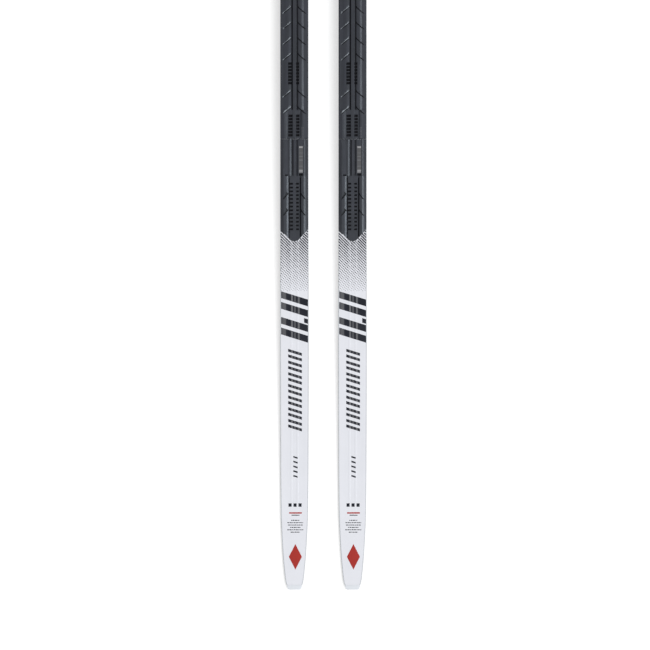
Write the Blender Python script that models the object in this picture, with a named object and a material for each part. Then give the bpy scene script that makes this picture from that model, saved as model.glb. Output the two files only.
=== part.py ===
"""A pair of cross-country skating skis, each laid up in separate layers under a two-section binding plate.

World frame, in metres: +Y runs towards the tips, +X to the right and +Z up. The origin is on the floor,
midway between the skis and halfway along them. Distances along a ski are measured from its tail end.
"""

import math

import bmesh
import bpy
import numpy as np
from mathutils import Matrix

MM = 0.001
LENGTH = 1920 * MM
SPACING = 93 * MM  # between the two centre lines
GAP = 0.3 * MM  # between neighbouring pieces

# Knots of the smooth curves that shape a ski: (distance from the tail end, value), both in millimetres
HALF_WIDTH = (
    (0, 9.2), (2, 11.0), (7, 12.4), (13, 14.1), (29, 16.1), (55, 18.4), (85, 20.2), (115, 21.5),
    (190, 22.4), (250, 22.6), (390, 22.9), (560, 22.5), (1150, 22.3), (1560, 21.8), (1740, 20.7), (1815, 18.9),
    (1870, 15.6), (1898, 11.8), (1912, 8.0), (1918, 4.4), (1920, 1.6),
)
THICKNESS = (
    (0, 7.0), (115, 9.2), (250, 13.5), (460, 20.5), (721, 26.2), (960, 27.5), (1150, 24.6),
    (1360, 18.0), (1560, 11.8), (1740, 7.6), (1850, 6.2), (1920, 5.8),
)
TAIL_KICK = 3 * MM
CAMBER = 21 * MM
TIP_RISE = 34 * MM
REAR_CONTACT = (150 * MM, 190 * MM)  # the flat stretch that the unloaded ski rests on at the back
FRONT_CONTACT = (1620 * MM, 1660 * MM)
TIP_CURVE = 2.1  # exponent of the upturn

# Thickness of each layer
BASE_SHEET = 1.3 * MM
LAMINATE = 0.7 * MM
STRIP = 0.5 * MM
TOPSHEET = 0.6 * MM
SIDEWALL = 1.8 * MM
ADHESIVE = 0.4 * MM
LABEL = 0.2 * MM

# Running groove in the base
GROOVE_HALF = 3.5 * MM
GROOVE_DEPTH = 0.7 * MM
GROOVE_SPAN = (80 * MM, 1700 * MM)
GROOVE_FADE = 35 * MM

# Ends of the pieces along the ski
TAIL_CAP = 7 * MM
TIP_CAP = 1912 * MM
TAIL_TONGUE = 55 * MM
TIP_TONGUE = 1815 * MM
CORE_JOINTS = (520 * MM, 1080 * MM)
STRIP_SPAN = (115 * MM, 1500 * MM)
STRIP_EDGES = (3.0 * MM, 7.0 * MM)  # each strip's inner and outer edge, off the centre line

# Binding plate: heights are above its underside
PLATE_REAR = 558 * MM
PLATE_SEAM = 721 * MM
PLATE_FRONT = 1012 * MM
PLATE_BEVEL = 19 * MM  # length of the slanted end of each outer section
PLATE_NOSE = 5.5 * MM  # half-width of the blunt end between the slants
PLATE_EDGE = 22.2 * MM
PLATE_BLEND = 2 * MM  # over which one profile turns into the next
# Right half of each profile from the crown outwards, (x, height); each starts this far along the ski
REAR_RACK = (
    (7.9, 2.6), (8.3, 1.2), (9.4, 1.2), (11.6, 3.6), (14.8, 3.6), (17.2, 2.3), (19.0, 1.7), (21.4, 1.1), (22.2, 0.6),
    (22.2, 0.0),
)
REAR_SMOOTH = (
    (2.4, 3.0), (2.8, 1.4), (4.8, 1.4), (5.6, 2.8), (14.3, 2.8), (15.0, 3.2), (17.4, 2.2), (21.4, 1.1), (22.2, 0.6),
    (22.2, 0.0),
)
FRONT_RACK = (
    (2.6, 3.2), (3.0, 2.6), (6.0, 2.6), (10.4, 2.6), (13.6, 3.5), (16.8, 3.5), (19.0, 1.7), (21.4, 1.1), (22.2, 0.6),
    (22.2, 0.0),
)
FRONT_RUN = (
    (2.6, 3.2), (3.3, 1.4), (4.6, 1.4), (5.3, 2.5), (7.2, 3.4), (10.8, 3.4), (15.2, 1.5), (21.4, 1.1), (22.2, 0.6),
    (22.2, 0.0),
)
REAR_ZONES = ((PLATE_REAR, REAR_RACK), (661 * MM, REAR_SMOOTH))
FRONT_ZONES = ((PLATE_SEAM, FRONT_RACK), (765 * MM, FRONT_RUN))
POCKET_FLOOR = 0.7 * MM
CHEVRON_FLOOR = 0.9 * MM
CHEVRON_WIDTH = 1.3 * MM
CUT_TOP = 6 * MM  # every cutter reaches well above the plate
LABEL_SPAN = (667 * MM, 710 * MM)
LABEL_HALF = 3.4 * MM
LABEL_CENTRE = 10.4 * MM  # off the centre line, on the flat land of the rear section

# Distances along the ski where the layers bend
STATIONS = MM * np.array(
    [0, 2, 7, 13, 29, 55, 85, 115, 150, 190, 250, 320, 390, 460, 520, 580, 650, 721, 800, 870, 940, 1012, 1080,
     1150, 1220, 1290, 1360, 1430, 1500, 1560, 1620, 1660, 1700, 1740, 1780, 1815, 1845, 1870, 1890, 1903, 1912,
     1917, 1920]
)

COLOURS = {  # linear colour, roughness, metallic
    "base": ((0.012, 0.012, 0.014), 0.38, 0.0),
    "carbon": ((0.02, 0.02, 0.022), 0.35, 0.0),
    "core": ((0.62, 0.55, 0.40), 0.85, 0.0),
    "dense_core": ((0.46, 0.33, 0.19), 0.8, 0.0),
    "end_plastic": ((0.50, 0.52, 0.55), 0.45, 0.0),
    "sidewall": ((0.62, 0.64, 0.67), 0.42, 0.0),
    "topsheet": ((0.76, 0.79, 0.83), 0.4, 0.0),
    "adhesive": ((0.05, 0.05, 0.05), 0.7, 0.0),
    "plate": ((0.042, 0.047, 0.057), 0.55, 0.0),
    "label": ((0.42, 0.42, 0.42), 0.5, 0.0),
}


def clear_scene():
    for obj in list(bpy.data.objects):
        bpy.data.objects.remove(obj, do_unlink=True)


def new_collection(name):
    collection = bpy.data.collections.new(name)
    bpy.context.scene.collection.children.link(collection)
    return collection


def material(name):
    found = bpy.data.materials.get(name)
    if found:
        return found
    colour, roughness, metallic = COLOURS[name]
    made = bpy.data.materials.new(name)
    made.use_nodes = True
    shader = made.node_tree.nodes["Principled BSDF"]
    shader.inputs["Base Color"].default_value = (*colour, 1.0)
    shader.inputs["Roughness"].default_value = roughness
    shader.inputs["Metallic"].default_value = metallic
    return made


def smooth_curve(knots):
    """A monotone cubic through the knots, read at the stations; between stations every piece runs straight."""
    along, value = MM * np.array(knots, float).T
    step = np.diff(along)
    slope = np.diff(value) / step
    tangent = np.zeros(len(along))
    tangent[0], tangent[-1] = slope[0], slope[-1]
    for i in range(1, len(slope)):
        if slope[i - 1] * slope[i] > 0:
            tangent[i] = 2 * slope[i - 1] * slope[i] / (slope[i - 1] + slope[i])
    piece = np.clip(np.searchsorted(along, STATIONS, side="right") - 1, 0, len(step) - 1)
    t = (STATIONS - along[piece]) / step[piece]
    return (
        (1 + 2 * t) * (1 - t) ** 2 * value[piece]
        + t * (1 - t) ** 2 * step[piece] * tangent[piece]
        + t * t * (3 - 2 * t) * value[piece + 1]
        + t * t * (t - 1) * step[piece] * tangent[piece + 1]
    )


def floor_curve():
    """Height of the unloaded ski's running surface above the floor, at the stations."""
    kick = np.clip((REAR_CONTACT[0] - STATIONS) / REAR_CONTACT[0], 0, 1)
    arch = np.clip((STATIONS - REAR_CONTACT[1]) / (FRONT_CONTACT[0] - REAR_CONTACT[1]), 0, 1)
    rise = np.clip((STATIONS - FRONT_CONTACT[1]) / (LENGTH - FRONT_CONTACT[1]), 0, 1)
    return TAIL_KICK * kick**2 + CAMBER * np.sin(math.pi * arch) ** 2 + TIP_RISE * rise**TIP_CURVE


WIDTHS = smooth_curve(HALF_WIDTH)
DEPTHS = smooth_curve(THICKNESS)
FLOORS = floor_curve()


def half_width(s):
    return float(np.interp(s, STATIONS, WIDTHS))


def bottom(s):
    return float(np.interp(s, STATIONS, FLOORS))


def top(s):
    return bottom(s) + float(np.interp(s, STATIONS, DEPTHS))


def stations_between(start, end):
    inner = [s for s in STATIONS if start + GAP < s < end - GAP]
    return [start, *inner, end]


def slab(half, low, high):
    return [(-half, low), (half, low), (half, high), (-half, high)]


def base_section(s):
    low, high, half = bottom(s), bottom(s) + BASE_SHEET, half_width(s)
    into = min(s - GROOVE_SPAN[0], GROOVE_SPAN[1] - s) / GROOVE_FADE
    roof = low + GROOVE_DEPTH * min(max(into, 0.05), 1.0)
    return [
        (-half, low), (-GROOVE_HALF, low), (-GROOVE_HALF, roof), (GROOVE_HALF, roof), (GROOVE_HALF, low),
        (half, low), (half, high), (-half, high),
    ]


def bottom_laminate_section(s):
    low = bottom(s) + BASE_SHEET + GAP
    return slab(half_width(s), low, low + LAMINATE)


def core_floor(s):
    return bottom(s) + BASE_SHEET + LAMINATE + 2 * GAP


def core_roof(s):
    return top(s) - TOPSHEET - LAMINATE - 2 * GAP


def core_section(s):
    """Between the sidewalls, with a rebate in the upper face for each carbon strip."""
    half = half_width(s) - SIDEWALL - GAP
    low, high = core_floor(s), core_roof(s)
    rebate = high - STRIP - GAP
    inner, outer = STRIP_EDGES[0] - GAP, STRIP_EDGES[1] + GAP
    return [
        (-half, low), (half, low), (half, high), (outer, high), (outer, rebate), (inner, rebate), (inner, high),
        (-inner, high), (-inner, rebate), (-outer, rebate), (-outer, high), (-half, high),
    ]


def tongue_section(s):
    return slab(half_width(s) - SIDEWALL - GAP, core_floor(s), core_roof(s))


def cap_section(s):
    return slab(half_width(s), bottom(s), top(s))


def top_laminate_section(s):
    high = top(s) - TOPSHEET - GAP
    return slab(half_width(s), high - LAMINATE, high)


def topsheet_section(s):
    half, high = half_width(s), top(s)
    low = high - TOPSHEET
    chamfer = 0.7 * MM
    shoulder = low + 0.25 * MM
    return [
        (-half, low), (half, low), (half, shoulder), (half - chamfer, high), (chamfer - half, high), (-half, shoulder),
    ]


def sidewall_section(side):
    def section(s):
        outer = side * half_width(s)
        inner = outer - side * SIDEWALL
        low, high = core_floor(s), core_roof(s)
        return [(inner, low), (outer, low), (outer, high), (inner, high)]

    return section


def strip_section(side):
    def section(s):
        inner, outer = side * STRIP_EDGES[0], side * STRIP_EDGES[1]
        high = core_roof(s)
        return [(inner, high - STRIP), (outer, high - STRIP), (outer, high), (inner, high)]

    return section


def adhesive_section(s):
    low = top(s) + GAP
    return slab(PLATE_EDGE - 1.5 * MM, low, low + ADHESIVE)


def plate_floor(s):
    return top(s) + ADHESIVE + 2 * GAP


def plate_ring(s, profile):
    """The whole outline of a plate at s: the right half of the profile, mirrored to the left."""
    half = [(x * MM, plate_floor(s) + h * MM) for x, h in profile]
    return [(x, s - LENGTH / 2, z) for x, z in half[::-1] + [(-x, z) for x, z in half]]


def plate_rings(zones, start, end):
    """Rings from start to end; each zone's profile holds up to the next zone, and blends into it there."""
    rings = []
    bounds = [start, *(s for s, _ in zones[1:]), end]
    for (_, profile), low, high in zip(zones, bounds, bounds[1:]):
        low = low if low == start else low + PLATE_BLEND
        rings += [plate_ring(s, profile) for s in stations_between(low, high)]
    return rings


def loft(ski, name, rings, material_name):
    """A closed solid through rings of equally many points, with both ends capped."""
    mesh = bmesh.new()
    rows = [[mesh.verts.new(point) for point in ring] for ring in rings]
    for near, far in zip(rows, rows[1:]):
        for i, corner in enumerate(near):
            following = (i + 1) % len(near)
            mesh.faces.new((corner, near[following], far[following], far[i]))
    mesh.faces.new(rows[0])
    mesh.faces.new(rows[-1])
    bmesh.ops.recalc_face_normals(mesh, faces=mesh.faces)
    obj = finish(ski, name, mesh, ski["group"])
    obj.data.materials.append(material(material_name))
    return obj


def finish(ski, name, mesh, group):
    full_name = f"{ski['name']}_{name}"
    data = bpy.data.meshes.new(full_name)
    mesh.to_mesh(data)
    mesh.free()
    obj = bpy.data.objects.new(full_name, data)
    obj.parent = ski["empty"]
    group.objects.link(obj)
    return obj


def sheet(ski, name, section, start, end, material_name):
    """A piece whose cross-section is section(s), between two distances along the ski."""
    rings = [ring_at(s, section) for s in stations_between(start, end)]
    return loft(ski, name, rings, material_name)


def ring_at(s, section):
    return [(x, s - LENGTH / 2, z) for x, z in section(s)]


def add_end_piece(ski, name, cap_span, tongue_span):
    """A plastic end piece: a cap as deep as the whole ski, and a tongue let into the lay-up."""
    cap = [ring_at(s, cap_section) for s in stations_between(*cap_span)]
    tongue = [ring_at(s, tongue_section) for s in stations_between(*tongue_span)]
    rings = cap + tongue if cap_span[0] < tongue_span[0] else tongue + cap
    loft(ski, name, rings, "end_plastic")


def add_laid_up_body(ski):
    """Everything between the running surface and the topsheet."""
    start, end = TAIL_CAP + GAP, TIP_CAP - GAP
    sheet(ski, "base", base_section, start, end, "base")
    sheet(ski, "bottom_laminate", bottom_laminate_section, start, end, "carbon")
    sheet(ski, "sidewall_left", sidewall_section(-1), start, end, "sidewall")
    sheet(ski, "sidewall_right", sidewall_section(1), start, end, "sidewall")
    sheet(ski, "core_rear", core_section, TAIL_TONGUE + GAP, CORE_JOINTS[0], "core")
    sheet(ski, "core_middle", core_section, CORE_JOINTS[0] + GAP, CORE_JOINTS[1], "dense_core")
    sheet(ski, "core_front", core_section, CORE_JOINTS[1] + GAP, TIP_TONGUE - GAP, "core")
    sheet(ski, "carbon_strip_left", strip_section(-1), *STRIP_SPAN, "carbon")
    sheet(ski, "carbon_strip_right", strip_section(1), *STRIP_SPAN, "carbon")
    sheet(ski, "top_laminate", top_laminate_section, start, end, "carbon")
    sheet(ski, "topsheet", topsheet_section, start, end, "topsheet")
    add_end_piece(ski, "tail_protector", (0, TAIL_CAP), (TAIL_CAP, TAIL_TONGUE))
    add_end_piece(ski, "tip_protector", (TIP_CAP, LENGTH), (TIP_TONGUE, TIP_CAP))


def add_box(mesh, centre, size, turn=0.0):
    """A box in a cutter's mesh, turned about the vertical."""
    made = bmesh.ops.create_cube(mesh, size=1.0)["verts"]
    bmesh.ops.scale(mesh, vec=size, verts=made)
    bmesh.ops.rotate(mesh, cent=(0, 0, 0), matrix=Matrix.Rotation(turn, 3, "Z"), verts=made)
    bmesh.ops.translate(mesh, vec=centre, verts=made)


def add_cut_box(mesh, across, along, floor, turn=0.0, width=None):
    """A cutter box over the span across (x) and along (s) whose floor lies this far above the plate's underside."""
    s = sum(along) / 2
    low = plate_floor(s) + floor
    high = plate_floor(s) + CUT_TOP
    size = (across[1] - across[0], width or along[1] - along[0], high - low)
    centre = (sum(across) / 2, s - LENGTH / 2, (low + high) / 2)
    add_box(mesh, centre, size, turn)


def cut_rack(mesh, first_row, pitch, rows, left, right, tall):
    """Rows of pockets that a binding's teeth drop into."""
    for row in range(rows):
        s = (first_row + row * pitch) * MM
        for across in (left, right):
            span = (across[0] * MM, across[1] * MM)
            add_cut_box(mesh, span, (s - tall * MM / 2, s + tall * MM / 2), POCKET_FLOOR)


def cut_chevrons(mesh, inner_ends, across, sweep):
    """Pairs of slanted grooves whose inner ends lie nearer the tip."""
    run = (across[1] - across[0]) * MM
    turn = math.atan2(sweep * MM, run)
    reach = math.hypot(sweep * MM, run)
    for inner in inner_ends:
        s = (inner - sweep / 2) * MM
        middle = sum(across) / 2 * MM
        for side in (-1, 1):
            span = (side * middle - reach / 2, side * middle + reach / 2)
            add_cut_box(mesh, span, (s, s), CHEVRON_FLOOR, -side * turn, CHEVRON_WIDTH)


def cut_slanted_end(mesh, end, towards):
    """Takes both corners off a plate's end, leaving a blunt nose."""
    run = PLATE_EDGE - PLATE_NOSE
    turn = math.atan2(PLATE_BEVEL, run)
    reach = 3 * math.hypot(PLATE_BEVEL, run)
    depth = 30 * MM
    for side in (-1, 1):
        middle_x = side * (PLATE_NOSE + run / 2)
        middle_s = end - towards * PLATE_BEVEL / 2
        out_x = side * math.sin(turn) * depth / 2
        out_s = towards * math.cos(turn) * depth / 2
        centre = (middle_x + out_x, middle_s + out_s - LENGTH / 2, plate_floor(end))
        add_box(mesh, centre, (reach, depth, 40 * MM), -side * towards * turn)


def cut(ski, obj, mesh, helpers):
    cutter = finish(ski, f"{obj.name}_cutter", mesh, helpers)
    cutter.hide_render = True
    cutter.display_type = "WIRE"
    boolean = obj.modifiers.new("cut", "BOOLEAN")
    boolean.operation = "DIFFERENCE"
    boolean.solver = "EXACT"
    boolean.object = cutter


def add_front_plate(ski, helpers):
    start = PLATE_SEAM + GAP
    obj = loft(ski, "plate_front", plate_rings(FRONT_ZONES, start, PLATE_FRONT), "plate")
    mesh = bmesh.new()
    cut_rack(mesh, 727, 5.15, 7, (-9.9, -2.9), (2.9, 8.2), 2.9)
    cut_rack(mesh, 810, 5.2, 7, (-9.9, -2.9), (2.9, 8.2), 2.9)
    cut_chevrons(mesh, (772, 798, 857, 882, 907, 932, 957, 982), (5.6, 18.6), 10.4)
    cut_slanted_end(mesh, PLATE_FRONT, 1)
    cut(ski, obj, mesh, helpers)


def add_rear_plate(ski, helpers):
    end = PLATE_SEAM - GAP
    obj = loft(ski, "plate_rear", plate_rings(REAR_ZONES, PLATE_REAR, end), "plate")
    mesh = bmesh.new()
    cut_rack(mesh, 577, 6.05, 13, (-7.2, -2.6), (2.6, 7.2), 3.0)
    cut_chevrons(mesh, (608, 634), (10.2, 17.0), 9.0)
    cut_slanted_end(mesh, PLATE_REAR, -1)
    cut(ski, obj, mesh, helpers)


def add_adhesive(ski):
    inset = 22 * MM
    sheet(ski, "adhesive_rear", adhesive_section, PLATE_REAR + inset, PLATE_SEAM - GAP, "adhesive")
    sheet(ski, "adhesive_front", adhesive_section, PLATE_SEAM + GAP, PLATE_FRONT - inset, "adhesive")


def add_label(ski):
    """A printed strip stuck flat on the rear section's land, right of the channel."""
    land = REAR_SMOOTH[4][1] * MM

    def section(s):
        low = plate_floor(s) + land + GAP
        left, right = LABEL_CENTRE - LABEL_HALF, LABEL_CENTRE + LABEL_HALF
        return [(left, low), (right, low), (right, low + LABEL), (left, low + LABEL)]

    sheet(ski, "plate_label", section, *LABEL_SPAN, "label")


def build_ski(name, offset, group, helpers):
    """One whole ski, parented to an empty on its own centre line."""
    empty = bpy.data.objects.new(f"{name}_origin", None)
    empty.location = (offset, 0, 0)
    group.objects.link(empty)
    ski = {"name": name, "group": group, "empty": empty}
    add_laid_up_body(ski)
    add_adhesive(ski)
    add_front_plate(ski, helpers)
    add_rear_plate(ski, helpers)
    add_label(ski)


def main():
    clear_scene()
    skis = new_collection("cross_country_skis")
    helpers = new_collection("cutters")
    build_ski("left_ski", -SPACING / 2, skis, helpers)
    build_ski("right_ski", SPACING / 2, skis, helpers)


main()
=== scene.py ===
import math

import bmesh
import bpy
import numpy as np
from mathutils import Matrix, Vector


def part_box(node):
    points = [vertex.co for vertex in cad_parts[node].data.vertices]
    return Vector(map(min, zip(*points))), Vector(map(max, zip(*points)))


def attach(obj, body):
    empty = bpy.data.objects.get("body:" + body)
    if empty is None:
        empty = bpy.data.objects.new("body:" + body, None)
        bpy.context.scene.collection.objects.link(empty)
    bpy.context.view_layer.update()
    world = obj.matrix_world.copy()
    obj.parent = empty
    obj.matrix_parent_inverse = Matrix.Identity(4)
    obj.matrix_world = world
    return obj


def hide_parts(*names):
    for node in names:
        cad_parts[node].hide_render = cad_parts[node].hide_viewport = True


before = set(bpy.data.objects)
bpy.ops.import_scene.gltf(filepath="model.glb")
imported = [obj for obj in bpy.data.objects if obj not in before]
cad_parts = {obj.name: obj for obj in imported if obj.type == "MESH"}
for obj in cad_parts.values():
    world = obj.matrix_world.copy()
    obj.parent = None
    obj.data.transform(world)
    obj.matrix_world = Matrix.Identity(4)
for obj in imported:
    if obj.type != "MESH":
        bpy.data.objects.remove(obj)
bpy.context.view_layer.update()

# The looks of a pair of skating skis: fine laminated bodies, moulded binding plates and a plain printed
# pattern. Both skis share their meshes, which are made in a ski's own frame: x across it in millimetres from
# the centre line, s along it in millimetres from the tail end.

MM = 0.001
SKIS = ("left_ski", "right_ski")

# Layers of the lay-up: height of each one's lower and upper face, from the running surface or from the top
BASE_TOP = 1.42
BASE_BEVEL = 0.3
BOTTOM_LAMINATE = (1.44, 2.20)
TOP_LAMINATE = (1.50, 0.74)  # below the top
SHEET_DEPTH = 0.72  # thickness of the topsheet
SIDEWALL_DEPTH = 1.8
LAYER_GAP = 0.02
LAMINATE_INSET = 0.12  # the dark laminates lie a little inside the white layers
CONTACTS = (150, 190, 1620, 1660)  # ends of the two flat stretches that the ski rests on
END_CURVES = (120, 1800)  # the outline turns in fast before and after these
GROOVE_HALF = 3.5
GROOVE_DEPTH = 0.7
GROOVE_ROUND = 0.6  # exponent that squares the groove's round section
GROOVE_SPAN = (80, 1700)
GROOVE_FADE = 35
CAP_RADIUS = 0.9  # rounding of an end cap towards its free end
CAP_SIDE_SHARE = 0.5  # of that rounding, taken off its sides
CAP_FACE_SHARE = 0.6  # and off its upper and lower face
CAP_CORNER = 0.6
CAP_STEP = 0.8
CAP_SEAM = 0.12  # between an end cap and the lay-up

# Relief of the topsheet: two ribs over the stiffening strips, and edges that rise from a shallow dish
RIB_CENTRE = 5.0
RIB_HALF = 2.0
RIB_HEIGHT = 0.24
RIB_FLANK = 0.7
RIB_SPAN = (112, 1530)
RIB_FADE = 40
DISH_START = 11.5
DISH_END = 19.0
DISH_HEIGHT = 0.16
DISH_MARGIN = 1.35  # the dish's last place, inside the edge
# Places across the sheet where it bends: in mm from the centre line, then as shares of the way from there
RIB_PLACES = (0, 0.9, 1.8, 2.6, 3.0, 3.25, 3.5, 3.75, 4.0, 5.0, 6.0, 6.25, 6.5, 6.75, 7.0, 7.4)
DISH_SHARES = (2 / 15, 5 / 18, 37 / 90, 5 / 9, 2 / 3, 7 / 9, 8 / 9, 1)
RELIEF = 0.26  # the sheet between the ribs lies this far below the top of the ski
EDGE_ROUND = 0.6
EDGE_LINE = 1.1  # width of the sheet's edge, where the greyer layer under the lacquer shows

PLATE_LIFT = 1.0  # from the top of the ski to the underside of a plate
PLATE_EDGE = 22.2
NOSE_HALF = 6.0  # half-width of a plate's blunt end
NOSE_BOW = 1.1  # how far that end bows out
NOSE_SLANT = 16 / 17.5  # half-width gained for each millimetre along the slanted end
NOSE_FADE = 14
NOSE_LENGTH = 24  # the stretch whose grid lines lie closer together
COLUMN_STEP = 0.02  # grid lines stay at least this far apart where the end narrows
RIM_FOOT = 0.3  # height of a plate's outermost edge
RIM_WIDTH = 0.12
RIM_HEIGHT = 1.1
RIM_SLOPE = 25  # height gained for each millimetre further in, up to the profile
END_HEIGHT = 0.5
END_SLOPE = 1.8
ADHESIVE_INSET = 0.9
ADHESIVE_LIFT = 0.05  # above the sheet
SEAM_FILL = 0.25  # how far the front adhesive is squeezed out towards the rear section

# Profiles of the binding plates, from the centre line outwards: (x, height above the underside)
REAR_RACK_LEFT = (
    (0, 2.6), (7.3, 2.6), (7.6, 2.3), (7.9, 0.5), (8.8, 0.5), (9.4, 1.5), (12.0, 3.2), (12.4, 3.3),
    (17.2, 3.6), (17.6, 3.4), (22.0, 0.4),
)
REAR_RACK_RIGHT = (
    (0, 2.6), (8.2, 2.6), (8.5, 2.3), (8.8, 0.5), (9.9, 0.5), (10.9, 3.2), (11.3, 3.4), (14.8, 3.6),
    (15.3, 3.5), (17.6, 2.55), (19.2, 2.2), (22.0, 2.2),
)
REAR_SMOOTH_LEFT = (
    (0, 3.1), (1.2, 3.1), (1.5, 2.8), (1.8, 0.8), (3.8, 0.8), (4.8, 2.4), (6.8, 3.2), (7.4, 3.4),
    (8.4, 3.4), (8.8, 2.7), (16.9, 3.1), (17.2, 3.4), (17.6, 3.2), (22.0, 0.5),
)
REAR_SMOOTH_RIGHT = (
    (0, 3.1), (2.4, 3.1), (2.7, 2.8), (3.0, 0.7), (5.2, 0.7), (6.0, 2.4), (6.6, 2.7), (14.2, 2.7),
    (14.6, 3.1), (15.4, 3.2), (17.3, 2.5), (18.8, 2.25), (22.0, 2.15),
)
FRONT_RACK_LEFT = (
    (0, 3.1), (2.4, 3.1), (2.8, 2.7), (9.9, 2.4), (10.4, 2.4), (14.6, 3.4), (16.4, 3.5), (17.2, 3.2),
    (22.0, 0.8),
)
FRONT_RACK_RIGHT = (
    (0, 3.1), (2.4, 3.1), (2.8, 2.7), (8.2, 2.6), (9.4, 2.5), (10.2, 1.5), (11.4, 3.2), (11.8, 3.4),
    (14.6, 3.4), (17.4, 3.0), (22.0, 2.9),
)
FRONT_RUN_LEFT = (
    (0, 3.2), (2.2, 3.2), (2.5, 2.8), (2.8, 0.6), (4.1, 0.6), (4.6, 1.9), (5.2, 2.85), (7.6, 3.2),
    (8.2, 3.3), (11.2, 3.2), (13.4, 2.7), (15.6, 1.9), (17.2, 1.7), (20.6, 1.6), (22.0, 0.4),
)
FRONT_RUN_RIGHT = (
    (0, 3.2), (3.1, 3.2), (3.5, 2.8), (3.8, 0.6), (5.1, 0.6), (5.7, 2.3), (6.6, 3.0), (8.2, 3.3),
    (11.6, 3.4), (12.0, 3.3), (15.0, 1.6), (15.8, 1.5), (22.0, 1.3),
)
REAR_ZONES = ((0, REAR_RACK_LEFT, REAR_RACK_RIGHT), (662, REAR_SMOOTH_LEFT, REAR_SMOOTH_RIGHT))
FRONT_ZONES = ((0, FRONT_RACK_LEFT, FRONT_RACK_RIGHT), (767, FRONT_RUN_LEFT, FRONT_RUN_RIGHT))
ZONE_BLEND = 3.0
PAINTED_SHADE, PAINTED_HIGHLIGHT = 1, 2  # places of a plate's second and third material: near-black painted shade in its recesses and grooves, and a paler painted highlight on lit groove walls
PLATE_SHARP = 22  # edges of the moulding are sharp from this angle, in degrees

# Racks: first row, pitch, number of rows, the left and right pocket across the ski, their length, their floor
REAR_RACK = (577, 6.05, 13, (-8.0, -2.4), (2.6, 7.0), 2.7, 0.5)
FRONT_RACKS = (
    (727, 5.15, 7, (-9.9, -2.9), (2.9, 8.2), 3.7, 0.12),
    (810, 5.2, 7, (-9.9, -2.9), (2.9, 7.4), 3.6, 0.12),
)
REAR_CHANNELS = (  # (x from, x to, s from, s to, floor)
    (-8.9, -7.8, 570, 659, 0.4), (8.8, 9.9, 566, 659, 0.4),
    (7.2, 13.4, 662.6, 665.8, 0.5), (-15.6, -10.4, 662.4, 664.2, 1.4),
)
# Slots along the centre rail: (x from, x to, floor), where they start, and how far short of the end they stop
REAR_SLOTS = ((-3.1, -2.2, 0.7), (3.7, 4.7, 0.6))
REAR_SLOT_SPAN = (664, 1)
FRONT_SLOTS = ((-4.0, -2.8, 0.5), (4.0, 4.9, 0.5))
FRONT_SLOT_SPAN = (768, 6)
# How a pocket's wall drops: (distance inside its outline, share of the depth)
POCKET_EDGE = ((-0.35, 0.0), (-0.05, 0.12), (0.2, 1.0))

# Chevron grooves: inner ends along the ski, reach from the centre line, and how far they sweep back
REAR_CHEVRONS = ((608, 634), (9.6, 18.2), 9.5)
FRONT_CHEVRONS = ((772, 798, 857, 882, 907, 932, 957, 982), (4.6, 18.8), 11.4)
CHEVRON_RINGS = 9  # places where a groove's cutter follows the surface
CHEVRON_DEPTH = 1.15
CHEVRON_RUNOUT = 6  # the groove gets shallow over about the last sixth of its reach
CHEVRON_LAST = 0.12  # share of the depth left at its outer end
CHEVRON_TALL = 3  # height of the cutter above the groove's floor
CHEVRON_WALLS = {-1: (4.6, 2.2), 1: (2.0, 2.2)}  # lean of its tip-side and tail-side walls over that height

LABEL_SPAN = (667, 710)
LABEL_EDGES = (7.2, 13.9)
LABEL_LAND = 2.7  # height of the flat that the label is stuck to
LABEL_THICK = 0.14
LABEL_MARGIN = 0.5
LABEL_INK = (0.01, 0.06)  # lower and upper face of its bars, above the label
LABEL_BARS = (  # along the label: (from, to, slot)
    (0.8, 2.0, "label"), (2.0, 3.4, "ink_grey"), (3.4, 4.8, "label"), (10.2, 11.0, "ink_grey"),
    (19.6, 21.0, "ink_grey"), (25.6, 26.4, "ink_grey"), (31.4, 32.0, "ink_grey"), (39.6, 42.2, "label"),
)
SCALE_FROM = 723.5
SCALE_ROWS = 8
SCALE_PITCH = 2.25
SCALE_AT = (12.2, 14.2)
SCALE_MARK = 0.45  # half-size of a mark
SCALE_HEIGHTS = (3.3, 3.48)


# ---------------------------------------------------------------- shape of a ski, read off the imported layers


def read_outline(ski):
    """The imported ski's half-width, underside and top, at each distance from the tail where it bends."""
    names = [f"{ski}_{layer}" for layer in ("base", "topsheet", "tail_protector", "tip_protector")]
    points = np.array([v.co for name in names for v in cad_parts[name].data.vertices]) / MM
    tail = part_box(f"{ski}_tail_protector")[0].y / MM
    centre = centre_of(ski) / MM
    along = np.round(points[:, 1] - tail, 1)
    rows = [points[along == s] for s in np.unique(along)]
    return {
        "s": np.unique(along),
        "half": np.array([np.abs(row[:, 0] - centre).max() for row in rows]),
        "low": np.array([row[:, 2].min() for row in rows]),
        "high": np.array([row[:, 2].max() for row in rows]),
        "tail": tail,
    }


def centre_of(ski):
    low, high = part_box(f"{ski}_base")
    return (low.x + high.x) / 2


def span_of(node):
    """A node's two ends along the ski, in mm from the tail end."""
    low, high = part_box(f"{SKIS[0]}_{node}")
    return low.y / MM - OUTLINE["tail"], high.y / MM - OUTLINE["tail"]


def smooth(values, s):
    """A monotone cubic through the values at the outline's bends."""
    along = OUTLINE["s"]
    step = np.diff(along)
    slope = np.diff(values) / step
    product = slope[:-1] * slope[1:]
    total = slope[:-1] + slope[1:]
    inner = np.where(product > 0, 2 * product / np.where(total == 0, 1, total), 0)
    tangent = np.concatenate([slope[:1], inner, slope[-1:]])
    i = np.clip(np.searchsorted(along, s, side="right") - 1, 0, len(step) - 1)
    t = np.clip((s - along[i]) / step[i], 0, 1)
    return (
        (1 + 2 * t) * (1 - t) ** 2 * values[i]
        + t * (1 - t) ** 2 * step[i] * tangent[i]
        + t * t * (3 - 2 * t) * values[i + 1]
        + t * t * (t - 1) * step[i] * tangent[i + 1]
    )


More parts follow.
